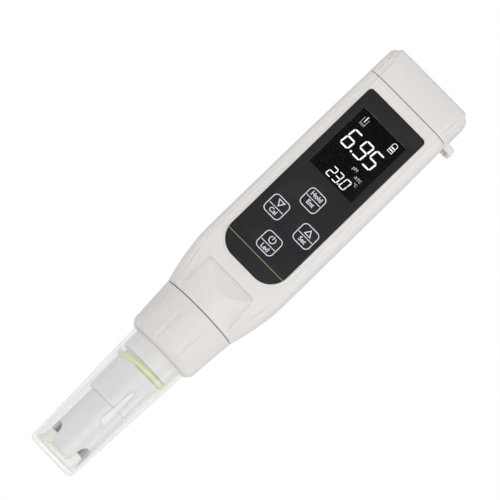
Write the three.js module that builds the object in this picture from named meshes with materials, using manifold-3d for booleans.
// Pen-type pH meter: a two-shell meter body with a display and four membrane keys, a pull-off
// battery cap, a screw collar that clamps a plug-in electrode module, and a clear storage cap.
// Millimetres, +Z along the pen towards the battery cap, the display faces -Y (front), +X is right.
// The origin is the centre of the storage cap's flat foot, on the electrode axis.

import * as THREE from 'three';
import { mergeVertices } from 'three/addons/utils/BufferGeometryUtils.js';
import Module from 'manifold-3d';

const { clamp, degToRad, lerp, smoothstep } = THREE.MathUtils;
const wasm = await Module();
wasm.setup();

// ---------------------------------------------------------------- driving dimensions
const TOTAL_H = 195.0;       // foot of the storage cap to the top of the battery cap
const FRONT = 17.6;          // front face, distance from the electrode axis
const BACK = 17.4;           // back face, distance from the electrode axis
const WALL = 2.0;            // shell wall
const PART_Y = 2.0;          // parting plane between the shells
const PART_GAP = 0.1;        // from the parting plane to each shell
const BODY_BOTTOM = 75.3;
const BODY_TOP = 179.7;
const BATTERY_CAP_BOTTOM = BODY_TOP + 0.25;
const NECK_R = 16.15;        // visible neck
const HALF_MAX = 19.6;       // widest half width of the body
const THREAD_R = 12.9;       // threaded neck
const KEY_GAP = 0.15;        // between a key and its opening in the overlay

// height, half width of the body
const HALF_WIDTH = [
  [BODY_BOTTOM, NECK_R], [78.4, 16.93], [80.5, 17.4], [82.7, 17.85], [84.9, 18.26],
  [87.1, 18.6], [89.3, 18.9], [91.5, 19.17], [93.6, 19.38], [95.8, 19.5], [100, HALF_MAX],
  [115, HALF_MAX], [130, 19.55], [152, 19.53], [166, 19.4], [174, 19.28], [BODY_TOP, 19.25],
];

// [x, z] of places on the front
const KEYS = { hold: [0.7, 131.4], cal: [-6.75, 120.5], set: [8.15, 120.5], power: [0.7, 109.4] };
const KEY_SPOTS = Object.values(KEYS);
const SCREW_SPOTS = [[-15.7, 166.0], [15.7, 166.0], [-15.0, 101.5], [15.0, 101.5]];

// ---------------------------------------------------------------- solids
// Ranges are [low, high] pairs. Cutters run past the faces they open.

const add = (first, ...rest) => rest.reduce((sum, solid) => sum.add(solid), first);
const cut = (first, ...rest) => rest.reduce((left, solid) => left.subtract(solid), first);
const clamp01 = (value) => clamp(value, 0, 1);

// linear interpolation in a [height, value] table, held constant past its ends
function valueAt(table, z) {
  if (z <= table[0][0]) return table[0][1];
  for (let i = 1; i < table.length; i++) {
    const [low, lowValue] = table[i - 1];
    const [high, highValue] = table[i];
    if (z <= high) return lowValue + (highValue - lowValue) * (z - low) / (high - low);
  }
  return table[table.length - 1][1];
}

// welds a geometry, drops collapsed triangles and turns its faces outwards
function fromGeometry(geometry) {
  for (const name of Object.keys(geometry.attributes)) {
    if (name !== 'position') geometry.deleteAttribute(name);
  }
  const welded = mergeVertices(geometry, 1e-4);
  const corners = welded.index.array;
  const triangles = [];
  const corner = [0, 1, 2].map(() => new THREE.Vector3());
  const normal = new THREE.Vector3();
  let volume = 0;
  for (let i = 0; i < corners.length; i += 3) {
    const [first, second, third] = corners.slice(i, i + 3);
    if (first === second || second === third || third === first) continue;
    triangles.push(first, second, third);
    corner.forEach((point, k) => {
      point.fromBufferAttribute(welded.attributes.position, corners[i + k]);
    });
    volume += corner[0].dot(normal.crossVectors(corner[1], corner[2]));
  }
  if (volume < 0) triangles.reverse();
  return new wasm.Manifold(new wasm.Mesh({
    numProp: 3,
    vertProperties: new Float32Array(welded.attributes.position.array),
    triVerts: new Uint32Array(triangles),
  }));
}

function toGeometry(manifold) {
  const { numProp, vertProperties, triVerts } = manifold.getMesh();
  const count = vertProperties.length / numProp;
  const positions = new Float32Array(count * 3);
  for (let i = 0; i < count; i++) {
    for (let k = 0; k < 3; k++) positions[i * 3 + k] = vertProperties[i * numProp + k];
  }
  const geometry = new THREE.BufferGeometry();
  geometry.setAttribute('position', new THREE.BufferAttribute(positions, 3));
  geometry.setIndex(new THREE.BufferAttribute(new Uint32Array(triVerts), 1));
  geometry.computeVertexNormals();
  return geometry;
}

function box([xMin, xMax], [yMin, yMax], [zMin, zMax]) {
  const geometry = new THREE.BoxGeometry(xMax - xMin, yMax - yMin, zMax - zMin);
  geometry.translate((xMin + xMax) / 2, (yMin + yMax) / 2, (zMin + zMax) / 2);
  return fromGeometry(geometry);
}
// a box centred across the pen
const slab = (halfWidth, yRange, zRange) => box([-halfWidth, halfWidth], yRange, zRange);

// profile: [radius, height] pairs, from axis to axis or closed by repeating the first point
function lathe(profile, segments, [x, y] = [0, 0]) {
  const points = profile.map(([radius, z]) => new THREE.Vector2(radius, z));
  const geometry = new THREE.LatheGeometry(points, segments);
  geometry.rotateX(Math.PI / 2);
  geometry.translate(x, y, 0);
  return fromGeometry(geometry);
}
// rods along Z and along Y
const rod = (radius, [bottom, top], segments, place) =>
  lathe([[0, bottom], [radius, bottom], [radius, top], [0, top]], segments, place);
function rodY(radius, [yMin, yMax], [x, z], segments, backRadius = radius) {
  const geometry = new THREE.CylinderGeometry(backRadius, radius, yMax - yMin, segments);
  geometry.translate(x, (yMin + yMax) / 2, z);
  return fromGeometry(geometry);
}
function torus(major, minor, z, segments, sides) {
  const geometry = new THREE.TorusGeometry(major, minor, sides, segments);
  geometry.translate(0, 0, z);
  return fromGeometry(geometry);
}

// skins stacked closed outlines with equal point counts and caps both ends
function loft(outlines) {
  const count = outlines[0].length;
  const positions = outlines.flat(2);
  const triangles = [];
  for (let i = 0; i + 1 < outlines.length; i++) {
    for (let j = 0; j < count; j++) {
      const here = i * count + j;
      const next = i * count + (j + 1) % count;
      triangles.push(here, next, next + count, here, next + count, here + count);
    }
  }
  for (const level of [0, outlines.length - 1]) {
    const centre = positions.length / 3;
    for (let k = 0; k < 3; k++) {
      positions.push(outlines[level].reduce((sum, point) => sum + point[k], 0) / count);
    }
    for (let j = 0; j < count; j++) {
      const here = level * count + j;
      const next = level * count + (j + 1) % count;
      if (level === 0) triangles.push(next, here, centre);
      else triangles.push(here, next, centre);
    }
  }
  const geometry = new THREE.BufferGeometry();
  geometry.setAttribute('position', new THREE.BufferAttribute(new Float32Array(positions), 3));
  geometry.setIndex(triangles);
  return fromGeometry(geometry);
}

const polygon = (points) => new THREE.Shape(points.map(([x, y]) => new THREE.Vector2(x, y)));
const extrude = (shape, depth, curveSegments) =>
  new THREE.ExtrudeGeometry(shape, { depth, bevelEnabled: false, curveSegments });

// an outline in X and Z, extruded along Y
function plateXZ(shape, [yMin, yMax], curveSegments) {
  const geometry = extrude(shape, yMax - yMin, curveSegments);
  geometry.rotateX(Math.PI / 2);      // shape y becomes +Z, depth runs to -Y
  geometry.translate(0, yMax, 0);
  return fromGeometry(geometry);
}
function roundRect([left, right], [bottom, top], topR, bottomR = topR) {
  const quarter = Math.PI / 2;
  const shape = new THREE.Shape();
  shape.moveTo(left + bottomR, bottom);
  shape.lineTo(right - bottomR, bottom);
  shape.absarc(right - bottomR, bottom + bottomR, bottomR, -quarter, 0, false);
  shape.lineTo(right, top - topR);
  shape.absarc(right - topR, top - topR, topR, 0, quarter, false);
  shape.lineTo(left + topR, top);
  shape.absarc(left + topR, top - topR, topR, quarter, Math.PI, false);
  shape.lineTo(left, bottom + bottomR);
  shape.absarc(left + bottomR, bottom + bottomR, bottomR, Math.PI, Math.PI * 1.5, false);
  return shape;
}

// a polygonal wire swept through points
function wire(points, radius, steps, sides) {
  const outline = Array.from({ length: sides }, (_, i) => {
    const angle = i / sides * Math.PI * 2;
    return [radius * Math.cos(angle), radius * Math.sin(angle)];
  });
  const extrudePath = new THREE.CatmullRomCurve3(points.map((at) => new THREE.Vector3(...at)));
  const options = { steps, extrudePath, bevelEnabled: false };
  return fromGeometry(new THREE.ExtrudeGeometry(polygon(outline), options));
}

// ---------------------------------------------------------------- body section
// flat front out to edgeX, a bevel to the shoulder, rounded flank and rounded back corner
const EDGE = { x: 14.8, shoulderX: 17.3, drop: 0.9 };
const FLANK = { frontY: -7.5, backY: 4.0 };
const BACK_CORNER_X = 9.0;
const ROUND_BELOW = 100;     // below this height the section turns into the round neck

// the whole outline at a height; the right half runs from mid front to mid back
function outline({ width, front, back, edgeX, shoulderX, drop }, z) {
  const shoulderY = -front + drop;
  const half = [[0, -front], [edgeX, -front], [shoulderX, shoulderY]];
  for (let i = 1; i <= 5; i++) {
    const angle = i / 5 * Math.PI / 2;
    half.push([
      shoulderX + (width - shoulderX) * Math.sin(angle),
      FLANK.frontY + (shoulderY - FLANK.frontY) * Math.cos(angle),
    ]);
  }
  half.push([width, FLANK.backY]);
  for (let i = 1; i <= 6; i++) {
    const angle = i / 6 * Math.PI / 2;
    half.push([
      BACK_CORNER_X + (width - BACK_CORNER_X) * Math.cos(angle),
      FLANK.backY + (back - FLANK.backY) * Math.sin(angle),
    ]);
  }
  half.push([0, back]);
  const mirrored = half.slice(1, -1).reverse().map(([x, y]) => [-x, y]);
  return [...half, ...mirrored].map(([x, y]) => [x, y, z]);
}

// the body outline at a height, moved inwards by inset
function bodySection(z, inset) {
  const neckWidth = valueAt(HALF_WIDTH, Math.min(z, ROUND_BELOW));
  const squareness = clamp01((neckWidth - NECK_R) / (HALF_MAX - NECK_R));
  const points = outline({
    width: (z < ROUND_BELOW ? HALF_MAX : valueAt(HALF_WIDTH, z)) - inset,
    front: FRONT - inset,
    back: BACK - inset,
    edgeX: EDGE.x - inset * 0.5,
    shoulderX: EDGE.shoulderX - inset * 0.8,
    drop: EDGE.drop,
  }, z);
  return points.map(([x, y]) => {
    const toNeck = (NECK_R - inset) / Math.hypot(x, y);
    return [lerp(x * toNeck, x, squareness), lerp(y * toNeck, y, squareness), z];
  });
}
const bodyLoft = (heights, inset) => loft(heights.map((z) => bodySection(z, inset)));

// a band between two insets of the body outline
const bodyBand = (outerInset, innerInset, [bottom, top]) =>
  cut(bodyLoft([bottom, top], outerInset), bodyLoft([bottom - 1, top + 1], innerInset));

// ---------------------------------------------------------------- front panel stack
const OVERLAY = { bottom: 97.0, top: 175.1, half: 14.2, topR: 1.8, bottomR: 8.5, thickness: 0.45 };
const OVERLAY_Y = -FRONT + 0.02;
const OVERLAY_BACK_Y = OVERLAY_Y + OVERLAY.thickness;
const LCD = { bottom: 140.6, top: 168.2, half: 10.8, x: 0.1 };     // visible display
const KEY = { size: 8.2, cornerR: 2.0, stemR: 2.2 };

const overlayOutline = (grow) => roundRect(
  [-OVERLAY.half - grow, OVERLAY.half + grow],
  [OVERLAY.bottom - grow, OVERLAY.top + grow],
  OVERLAY.topR + grow, OVERLAY.bottomR + grow);
const displayBox = (grow, yRange) => box(
  [LCD.x - LCD.half - grow, LCD.x + LCD.half + grow], yRange,
  [LCD.bottom - grow, LCD.top + grow]);
function keyPlate([x, z], grow, yRange, curveSegments) {
  const half = KEY.size / 2 + grow;
  const shape = roundRect([x - half, x + half], [z - half, z + half], KEY.cornerR + grow);
  return plateXZ(shape, yRange, curveSegments);
}
const stemBore = (spot, yRange) => rodY(KEY.stemR + 0.35, yRange, spot, 12);

const fasciaOverlay = () => cut(
  plateXZ(overlayOutline(0), [OVERLAY_Y, OVERLAY_BACK_Y], 4),
  displayBox(0, [-30, 0]),
  ...KEY_SPOTS.map((spot) => keyPlate(spot, 0, [-30, 0], 3)));
const displayWindow = () => displayBox(-0.12, [OVERLAY_Y, OVERLAY_Y + 1.3]);
const lcdPanel = () => slab(12.2, [-15.4, -13.2], [137.2, 170.8]);
const lcdFrame = () => cut(
  slab(13.2, [-15.45, -10.3], [135.7, 172.3]),
  slab(12.35, [-20, 0], [137.0, 171.0]));
const backlight = () => slab(12.0, [-12.95, -11.2], [140.4, 167.6]);
const zebraStrip = (bottom) => slab(11.8, [-13.0, -10.2], [bottom, bottom + 2.0]);
const mainPcb = () => cut(
  slab(14.4, [-10.0, -8.4], [98.2, 173.0]),
  ...SCREW_SPOTS.map((spot) => rodY(3.0, [-20, 0], spot, 16)));
const chip = () => box([-4.5, 4.5], [-8.25, -6.9], [112, 121]);
// snap dome, wide side towards the board
const dome = (spot) => rodY(2.2, [-10.875, -10.125], spot, 12, 3.0);
const keypadMat = () => cut(
  plateXZ(roundRect([-12.6, 12.6], [104.4, 135.2], 3), [-15.4, -14.4], 2),
  ...KEY_SPOTS.map((spot) => stemBore(spot, [-20, -10])));
const key = (spot) => add(
  keyPlate(spot, -KEY_GAP, [OVERLAY_Y, OVERLAY_BACK_Y], 3),
  rodY(KEY.stemR, [OVERLAY_BACK_Y - 0.1, -11.4], spot, 12));

// ---------------------------------------------------------------- neck opening
const LEDGE_Z = 91.3;        // ledge where the front face ends above the neck
const WINDOW_X = 12.75;      // half width of the opening that shows the neck
const SLOPE = { z: 84.5, y: -16.46, rate: 0.235 };   // sloped flat: lower end, run-in per mm
const NECK_HALF = 15.3;      // half width of the neck solid

// front of the neck: round at the collar, squarer towards the ledge, with the sloped flat
function neckOutline(z) {
  const radius = NECK_R - 0.12;
  const squareness = smoothstep(z, 77, 89);
  const flatY = SLOPE.y + (z - SLOPE.z) * SLOPE.rate;
  const points = [[NECK_HALF, 0, z], [-NECK_HALF, 0, z]];
  for (let i = 0; i <= 20; i++) {
    const x = -NECK_HALF + i * NECK_HALF / 10;
    const round = -Math.sqrt(radius * radius - x * x);
    const square = -16.72 + 2.5 * Math.pow(Math.abs(x) / WINDOW_X, 2.3);
    points.push([x, Math.max(lerp(round, square, squareness), flatY), z]);
  }
  return points.reverse();
}
function neckWindow() {
  const heights = [73.3, 77, 79, 81, 83, SLOPE.z, 86, 88, 90, LEDGE_Z + 2];
  const opening = roundRect([-WINDOW_X, WINDOW_X], [60, LEDGE_Z], 1.6, 0.5);
  return cut(plateXZ(opening, [-30, -2], 3), loft(heights.map(neckOutline)));
}

// ---------------------------------------------------------------- shells
const bodyOuter = bodyLoft(
  [BODY_BOTTOM, 77.5, 80, 83, 86.5, 90, 94, 100, 115, 130, 152, 166, BODY_TOP], 0);
// fits the screw bosses to the inside of the wall
const bossLimit = bodyLoft([96, 100, 152, 172], WALL - 0.4);
// main cavity, the stepped space over the neck, and the hole for the threaded neck
const bodyHollows = [
  bodyLoft([95.2, 100, 152, BODY_TOP + 1], WALL),
  add(
    cut(rod(14.0, [84.2, 96], 28), slab(20, [-20, -11.9], [80, 100])),
    rod(11.6, [80.3, 84.4], 28),
    rod(14.5, [78.0, 80.45], 32)),
  rod(THREAD_R + 0.25, [74, 78.2], 32),
];

function frontShell() {
  const frontY = PART_Y - PART_GAP;
  const keyPockets = KEY_SPOTS.map((spot) => add(
    keyPlate(spot, 0.2, [-FRONT - 2, -FRONT + 1.05], 2),
    stemBore(spot, [-FRONT - 1, -12])));
  const bosses = SCREW_SPOTS.map((spot) => cut(
    rodY(2.3, [-17, frontY], spot, 14).intersect(bossLimit),
    rodY(0.95, [-9, 10], spot, 10)));
  const shell = cut(
    bodyOuter.intersect(slab(40, [-40, frontY], [60, 200])),
    neckWindow(),
    ...bodyHollows,
    plateXZ(overlayOutline(0.12), [-FRONT - 2, -FRONT + 0.5], 4),
    displayBox(0.15, [-FRONT - 2, -10]),
    ...keyPockets);
  return add(shell, ...bosses);
}

function rearShell() {
  const rearY = PART_Y + PART_GAP;
  const shell = cut(bodyOuter.intersect(slab(40, [rearY, 40], [60, 200])), ...bodyHollows);
  const bosses = SCREW_SPOTS.map((spot) =>
    rodY(2.9, [rearY, 16.5], spot, 14).intersect(bossLimit));
  const screwHoles = SCREW_SPOTS.flatMap((spot) => [
    rodY(1.25, [-2, 30], spot, 10),
    rodY(2.3, [9.0, 30], spot, 14),
  ]);
  return cut(add(shell, ...bosses), ...screwHoles, sealStrip(1, 0.12), sealStrip(-1, 0.12));
}

// seal strip along a flank, side -1 left or 1 right; grown, it cuts its own groove
function sealStrip(side, grow) {
  const heights = [98 - grow, 105, 130, 152, 170 + grow];
  const widthHeights = [98, 105, 130, 152, 170];
  return loft(heights.map((z, i) => {
    const middle = valueAt(HALF_WIDTH, widthHeights[i]) - 1.0;
    const inner = side * (middle - 0.4 - grow);
    const outer = side * (middle + 0.4 + grow);
    const front = PART_Y + 0.2 - grow;
    const back = PART_Y + 1.2 + grow;
    return [[inner, front, z], [outer, front, z], [outer, back, z], [inner, back, z]];
  }));
}

// cross-head case screw, driven from the back
function caseScrew([x, z]) {
  const slotY = [10.2, 12];
  const long = 1.3;
  const thin = 0.25;
  return cut(
    add(rodY(0.8, [-8.4, 9.3], [x, z], 10), rodY(2.0, [9.2, 10.8], [x, z], 16)),
    box([x - long, x + long], slotY, [z - thin, z + thin]),
    box([x - thin, x + thin], slotY, [z - long, z + long]));
}

// ---------------------------------------------------------------- threaded neck and socket
// [x, y] of the four electrode pins
const PIN_SPOTS = [0, 1, 2, 3].map((i) => {
  const angle = i * Math.PI / 2 + 0.4;
  return [3.4 * Math.cos(angle), 3.4 * Math.sin(angle)];
});

const threadedNeck = () => lathe([
  [10.0, 62.5], [THREAD_R, 62.5], [THREAD_R, 78.15], [14.3, 78.15], [14.3, 80.15], [9.0, 80.15],
  [9.0, 82.0], [6.5, 82.0], [6.5, 75.8], [10.0, 75.8], [10.0, 62.5],
], 32);
const electrodeSocket = () => cut(
  add(rod(6.2, [76.4, 88.0], 24), rod(7.6, [82.25, 84.0], 24)),
  ...PIN_SPOTS.map((spot) => rod(0.95, [70, 83], 8, spot)));

// flat ribbon from the socket to the lower edge of the board
function socketRibbon() {
  const width = 7;
  const half = 0.3;          // half thickness along Y
  // y, z along the middle of the ribbon
  const path = [[0, 88.2], [-0.3, 90.6], [-3.6, 93.2], [-6.6, 96.0], [-7.6, 99.5], [-7.6, 103.5]];
  const front = path.map(([y, z]) => [y - half, z]);
  // raised along the bends, to keep the ribbon's thickness there
  const back = path.map(([y, z]) => [y + half, z + (z > 88.2 && z < 99 ? half * 0.8 : 0)]);
  const geometry = extrude(polygon([...front, ...back.reverse()]), width, 1);
  // shape x, y and depth become Y, Z and X
  geometry.applyMatrix4(new THREE.Matrix4().set(
    0, 0, 1, -width / 2,
    1, 0, 0, 0,
    0, 1, 0, 0,
    0, 0, 0, 1));
  return fromGeometry(geometry);
}

// ---------------------------------------------------------------- batteries
// AAA cells either side of the middle; length is without the button
const CELL = { radius: 5.25, length: 43.5, x: 5.75, y: 3.0, bottom: 133.2, buttonR: 1.9 };
const cellSpot = (side) => [side * CELL.x, CELL.y];

function batteryTray() {
  const boreZ = [129.5, 180];
  return cut(
    add(
      slab(12.1, [-3.8, 9.8], [128.0, 177.0]),
      slab(4, [9.7, 15.2], [134, 138]),
      slab(4, [9.7, 15.2], [162, 166])),
    ...[-1, 1].map((side) => rod(CELL.radius + 0.25, boreZ, 24, cellSpot(side))),
    slab(CELL.x, [0.5, 5.5], boreZ));
}

// the left cell stands button up, the right cell button down
function cell(side, buttonUp) {
  const { radius, buttonR, bottom } = CELL;
  const top = bottom + CELL.length;
  const upright = [
    [0, bottom], [radius, bottom], [radius, top - 0.3], [5.0, top],
    [buttonR, top], [buttonR, top + 1], [0, top + 1],
  ];
  const inverted = [
    [0, bottom], [buttonR, bottom], [buttonR, bottom + 1], [5.0, bottom + 1],
    [radius, bottom + 1.3], [radius, top + 1], [0, top + 1],
  ];
  return lathe(buttonUp ? upright : inverted, 24, cellSpot(side));
}

// conical spring under a cell, narrowing upwards
const SPRING = { turns: 2.5, bottomR: 3.6, taper: 1.4, bottom: 130.2, height: 2.5, wireR: 0.28 };
function batterySpring(side) {
  const points = [];
  for (let i = 0; i <= 16; i++) {
    const part = i / 16;
    const angle = part * Math.PI * 2 * SPRING.turns;
    const radius = SPRING.bottomR - SPRING.taper * part;
    points.push([
      side * CELL.x + radius * Math.cos(angle),
      CELL.y + radius * Math.sin(angle),
      SPRING.bottom + part * SPRING.height,
    ]);
  }
  return wire(points, SPRING.wireR, 28, 4);
}
// lead from the tray towards the board
const batteryLead = (side) => wire([
  [side * 9.5, -4.6, 131], [side * 9.8, -5.2, 128.5], [side * 8, -6.2, 125.5],
  [side * 6, -7.6, 122.6],
], 0.5, 8, 5);

// ---------------------------------------------------------------- battery cap
const SWEEP_Z = 183;         // where the front starts to sweep back
const TOP_R = 2.2;           // rounding of the top edge

// the front sweeps back towards the top, so its edges flare outwards
function batteryCapSection(z, inset) {
  const sweep = clamp01((z - SWEEP_Z) / (TOTAL_H - SWEEP_Z));
  const curve = sweep * sweep;
  const rise = Math.max(0, z - (TOTAL_H - TOP_R));
  const round = TOP_R - Math.sqrt(Math.max(0, TOP_R ** 2 - rise ** 2));
  return outline({
    width: 19.33 - inset - round * 0.85,
    front: FRONT - inset - 3.6 * curve - round * 0.3,
    back: BACK - inset - 0.6 * curve - round * 0.9,
    edgeX: EDGE.x - inset * 0.5 + 2.0 * curve - round * 0.6,
    shoulderX: EDGE.shoulderX - inset * 0.8 + 1.1 * curve - round * 0.75,
    drop: EDGE.drop + 0.2 * sweep,
  }, z);
}
const batteryCapLoft = (heights, inset) => loft(heights.map((z) => batteryCapSection(z, inset)));

// a strip in X and Y, square on the left and rounded at its right corners
function traceEyelet(path, left, right, front, back, radius) {
  path.moveTo(left, front);
  path.lineTo(right - radius, front);
  path.absarc(right - radius, front + radius, radius, -Math.PI / 2, 0, false);
  path.lineTo(right, back - radius);
  path.absarc(right - radius, back - radius, radius, 0, Math.PI / 2, false);
  path.lineTo(left, back);
  path.closePath();
  return path;
}
// lanyard eyelet on the right side
function eyelet() {
  const shape = traceEyelet(new THREE.Shape(), 17.2, 23.0, -4.0, 9.0, 3.0);
  shape.holes.push(traceEyelet(new THREE.Path(), 19.7, 21.4, -2.2, 7.2, 1.4));
  const geometry = extrude(shape, 2.9, 5);
  geometry.translate(0, 0, 180.3);
  return fromGeometry(geometry);
}

function batteryCap() {
  const outer = batteryCapLoft([BATTERY_CAP_BOTTOM, 184, 188, 191, 193, 194.2, TOTAL_H], 0);
  const hollow = batteryCapLoft([BATTERY_CAP_BOTTOM - 3, 185, 190, 192.9], WALL + 0.3);
  // skirt that plugs into the body, with a groove for the seal
  const skirt = bodyBand(WALL + 0.25, WALL + 1.75, [172.4, 182.5]);
  const sealGroove = bodyBand(1.0, WALL + 0.95, [176.2, 178.0]);
  // hollow, slotted post that carries the contact bridge
  const post = cut(
    slab(9.5, [-1.0, 7.0], [179.6, 193.2]),
    slab(8, [0.4, 5.6], [178, 192.6]),
    slab(12, [2.4, 3.6], [176, 181]));
  return add(cut(outer, hollow), cut(skirt, sealGroove), post, cut(eyelet(), hollow));
}
const batteryCapSeal = () => bodyBand(WALL + 0.12, WALL + 0.85, [176.35, 177.85]);

// two rails across both cells, with a pad and a contact button over each
const contactBridge = () => add(
  slab(8.4, [0.6, 2.2], [178.95, 179.4]),
  slab(8.4, [3.8, 5.4], [178.95, 179.4]),
  box([-7.4, -4.1], [0.6, 5.4], [178.55, 179.1]),
  box([4.1, 7.4], [0.6, 5.4], [178.55, 179.1]),
  ...[1, -1].map((side) => rod(1.5, [177.95, 178.7], 16, cellSpot(side))));

// ---------------------------------------------------------------- electrode module
// the sensing end is set off-centre to the right
const SENSOR_X = 1.05;
const SENSOR_AXIS = [SENSOR_X, 0];
// teardrop on the front, wide end down
const JUNCTION = { x: 4.7, bottomZ: 23.2, bottomR: 1.5, topZ: 36.8, topR: 0.8 };
const GUARD_ARCHES = [-59, 61, 181];      // bearings in degrees from the front towards +X

function junctionPlate(grow, backY) {
  const { x, bottomZ, bottomR, topZ, topR } = JUNCTION;
  const shape = new THREE.Shape();
  shape.absarc(x, bottomZ, bottomR + grow, Math.PI * 0.86, Math.PI * 2.14, false);
  shape.lineTo(x + topR + grow, topZ - 0.2);
  shape.absarc(x, topZ, topR + grow, 0, Math.PI, false);
  shape.closePath();
  return plateXZ(shape, [-12, backY], 5);
}
const junctionSlot = () => junctionPlate(0.12, -6.8);
const referenceJunction = () => junctionPlate(0, -6.95).intersect(
  add(rod(9.5, [28.5, 44], 44), rod(8.35, [20, 28.6], 44, SENSOR_AXIS)));

function electrodeBody() {
  const barrel = lathe([
    [0, 28.5], [9.55, 28.5], [9.6, 44.9], [8.75, 45.1], [8.75, 47.6], [10.6, 47.8], [10.6, 58.3],
    [12.9, 58.3], [12.9, 62.2], [9.6, 62.2], [9.6, 65.2], [8.6, 65.2], [8.6, 67.0], [9.6, 67.0],
    [9.6, 74.0], [0, 74.0],
  ], 36);
  return cut(
    add(barrel, rod(6.6, [22.5, 28.6], 32, SENSOR_AXIS)),
    rod(4.5, [20, 66], 28, SENSOR_AXIS),
    ...PIN_SPOTS.map((spot) => rod(0.65, [69, 75], 10, spot)),
    junctionSlot());
}
const electrodePin = (spot) =>
  lathe([[0, 69.2], [0.5, 69.2], [0.5, 80.4], [0.2, 80.9], [0, 80.9]], 10, spot);
const plugORing = () => torus(9.2, 0.5, 66.1, 28, 6);
const capSealRing = () => torus(9.83, 0.9, 46.35, 32, 8);

// a tube with three arches round the glass bulb
function sensorGuard() {
  const tube = lathe([
    [6.8, 28.2], [8.45, 28.2], [8.3, 4.7], [7.9, 3.9], [6.8, 3.9], [6.8, 28.2],
  ], 32, SENSOR_AXIS);
  const arch = polygon([[-3.6, 0], [3.6, 0], [3.4, 9.2]]);
  arch.absarc(0, 9.2, 3.4, 0, Math.PI, false);
  arch.closePath();
  const opening = plateXZ(arch, [-12, -4], 5);
  return cut(
    tube,
    ...GUARD_ARCHES.map((bearing) =>
      opening.rotate([0, 0, bearing]).translate([SENSOR_X, 0, 0])),
    junctionSlot());
}
const glassStem = () => lathe([
  [3.0, 14.5], [4.2, 14.5], [4.2, 64.0], [3.0, 64.0], [3.0, 14.5],
], 24, SENSOR_AXIS);
const glassBulb = () => lathe([
  [0, 7.2], [2.2, 7.7], [3.8, 9.2], [4.5, 11.2], [3.9, 14.35], [3.3, 14.35],
  [3.6, 11.2], [1.8, 8.7], [0, 8.3],
], 24, SENSOR_AXIS);
const silverWire = () => rod(0.5, [11.0, 63.5], 10, SENSOR_AXIS);
const temperatureProbe = () => lathe([
  [0, 8.0], [0.7, 8.3], [1.0, 9.2], [1.0, 22.2], [0, 22.2],
], 12, [SENSOR_X - 0.2, 5.55]);

// ---------------------------------------------------------------- collar nut
const COLLAR_FLUTES = 9;
// height, outer radius
const COLLAR_RADIUS = [[55.0, 12.9], [57.3, 14.85], [66, 15.48], [75.0, 16.05]];

// every fourth point is drawn in as a flute, which fades out towards both ends
function collarSection(z) {
  const radius = valueAt(COLLAR_RADIUS, z);
  const depth = 0.4 * clamp01((73 - z) / 10) * Math.min(1, (z - 54.6) / 2.5);
  const count = COLLAR_FLUTES * 4;
  return Array.from({ length: count }, (_, i) => {
    const angle = (i / count) * Math.PI * 2 + degToRad(-14 - 90);
    const reach = radius - (i % 4 === 0 ? depth : 0);
    return [reach * Math.cos(angle), reach * Math.sin(angle), z];
  });
}
const collarNut = () => cut(
  loft([55.0, 57.3, 66, 73, 75.0].map(collarSection)),
  rod(10.95, [50, 60], 36),
  rod(THREAD_R + 0.35, [58.05, 80], 36));

// ---------------------------------------------------------------- storage cap
const storageCap = () => lathe([
  // outside, foot to mouth
  [0, 0], [8.7, 0], [9.9, 0.5], [10.42, 1.9], [11.15, 22.4], [12.1, 44.2], [12.45, 54.7],
  // inside, mouth to floor
  [11.15, 54.7], [10.9, 42.2], [10.15, 41.2], [9.7, 3.0], [8.7, 1.8], [0, 1.8],
], 40);
const capSponge = () => lathe([
  [0, 2.0], [8.1, 2.0], [8.8, 2.7], [8.6, 3.6], [4.6, 3.7], [4.2, 5.6], [3.0, 6.6], [0, 6.8],
], 32);

// ---------------------------------------------------------------- materials
const SEE_THROUGH = { transparent: true, opacity: 0.35 };
const MATERIALS = {
  shell: { color: 0xe3e0de, roughness: 0.55 },
  graphite: { color: 0x2b2b2f, roughness: 0.4 },
  glassBlack: { color: 0x101010, roughness: 0.1 },
  rubberGrey: { color: 0x55565a, roughness: 0.8 },
  steel: { color: 0xb8bbc0, roughness: 0.3, metalness: 1 },
  brass: { color: 0xc9a24c, roughness: 0.35, metalness: 1 },
  gold: { color: 0xd9b45a, roughness: 0.3, metalness: 1 },
  board: { color: 0x1f6b3a, roughness: 0.5 },
  chip: { color: 0x1a1a1c, roughness: 0.5 },
  lime: { color: 0xb9dc6a, roughness: 0.45 },
  clear: { color: 0xf4f6f6, roughness: 0.08, ...SEE_THROUGH },
  glass: { color: 0xdfeef2, roughness: 0.05, ...SEE_THROUGH },
  sponge: { color: 0xe6e2c8, roughness: 0.95 },
  probe: { color: 0xd9d8d8, roughness: 0.4 },
  ceramic: { color: 0xeceae4, roughness: 0.7 },
  cell: { color: 0x3f6fb0, roughness: 0.35 },
  tray: { color: 0x2f3033, roughness: 0.6 },
  silicone: { color: 0x8d9094, roughness: 0.7 },
  diffuser: { color: 0xf3f5f0, roughness: 0.3 },
  silver: { color: 0xc8cacc, roughness: 0.3, metalness: 1 },
  lead: { color: 0xa33030, roughness: 0.5 },
};

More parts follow.
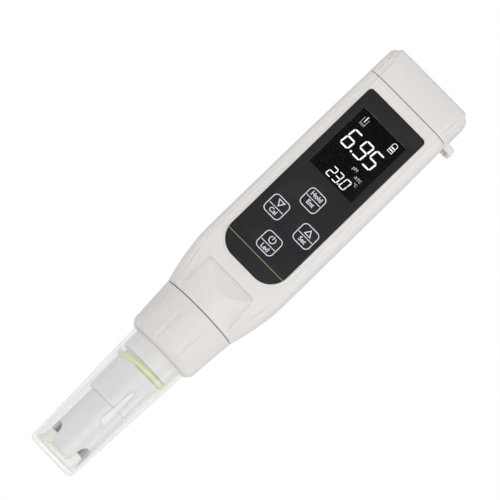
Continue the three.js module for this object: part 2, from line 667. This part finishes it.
// ---------------------------------------------------------------- assembly
// each group lists mesh name, solid, material
const ASSEMBLY = {
  meterBody: [
    ['front_shell', frontShell(), 'shell'],
    ['rear_shell', rearShell(), 'shell'],
    ['shell_seal_left', sealStrip(-1, 0), 'rubberGrey'],
    ['shell_seal_right', sealStrip(1, 0), 'rubberGrey'],
    ...SCREW_SPOTS.map((spot, i) => [`case_screw_${i + 1}`, caseScrew(spot), 'steel']),
    ['threaded_neck', threadedNeck(), 'shell'],
    ['electrode_socket', electrodeSocket(), 'chip'],
    ['socket_ribbon', socketRibbon(), 'tray'],
    ['fascia_overlay', fasciaOverlay(), 'graphite'],
    ['display_window', displayWindow(), 'glassBlack'],
    ['lcd_panel', lcdPanel(), 'glassBlack'],
    ['lcd_frame', lcdFrame(), 'tray'],
    ['backlight_panel', backlight(), 'diffuser'],
    ['zebra_connector_lower', zebraStrip(137.6), 'rubberGrey'],
    ['zebra_connector_upper', zebraStrip(168.4), 'rubberGrey'],
    ['main_pcb', mainPcb(), 'board'],
    ['controller_chip', chip(), 'chip'],
    ...Object.entries(KEYS).map(([name, spot]) => [`dome_${name}`, dome(spot), 'steel']),
    ['keypad_mat', keypadMat(), 'silicone'],
    ['battery_tray', batteryTray(), 'tray'],
    ['battery_cell_left', cell(-1, true), 'cell'],
    ['battery_cell_right', cell(1, false), 'cell'],
    ['battery_spring_left', batterySpring(-1), 'steel'],
    ['battery_spring_right', batterySpring(1), 'steel'],
    ['battery_lead_left', batteryLead(-1), 'lead'],
    ['battery_lead_right', batteryLead(1), 'lead'],
  ],
  keys: Object.entries(KEYS).map(([name, spot]) => [`key_${name}`, key(spot), 'graphite']),
  batteryLid: [
    ['battery_cap', batteryCap(), 'shell'],
    ['battery_cap_seal', batteryCapSeal(), 'rubberGrey'],
    ['contact_bridge', contactBridge(), 'brass'],
  ],
  electrodeModule: [
    ['electrode_body', electrodeBody(), 'probe'],
    ...PIN_SPOTS.map((spot, i) => [`electrode_pin_${i + 1}`, electrodePin(spot), 'gold']),
    ['plug_o_ring', plugORing(), 'rubberGrey'],
    ['cap_seal_ring', capSealRing(), 'lime'],
    ['sensor_guard', sensorGuard(), 'probe'],
    ['glass_stem', glassStem(), 'glass'],
    ['glass_bulb', glassBulb(), 'glass'],
    ['silver_wire', silverWire(), 'silver'],
    ['reference_junction', referenceJunction(), 'ceramic'],
    ['temperature_probe', temperatureProbe(), 'steel'],
  ],
  collar: [['collar_nut', collarNut(), 'shell']],
  storage: [
    ['storage_cap', storageCap(), 'clear'],
    ['cap_sponge', capSponge(), 'sponge'],
  ],
};

const root = new THREE.Group();
root.name = 'ph_meter';
for (const parts of Object.values(ASSEMBLY)) {
  const group = new THREE.Group();
  root.add(group);
  for (const [name, solid, material] of parts) {
    const look = new THREE.MeshStandardMaterial(MATERIALS[material]);
    const mesh = new THREE.Mesh(toGeometry(solid), look);
    mesh.name = name;
    group.add(mesh);
  }
}

export default root;
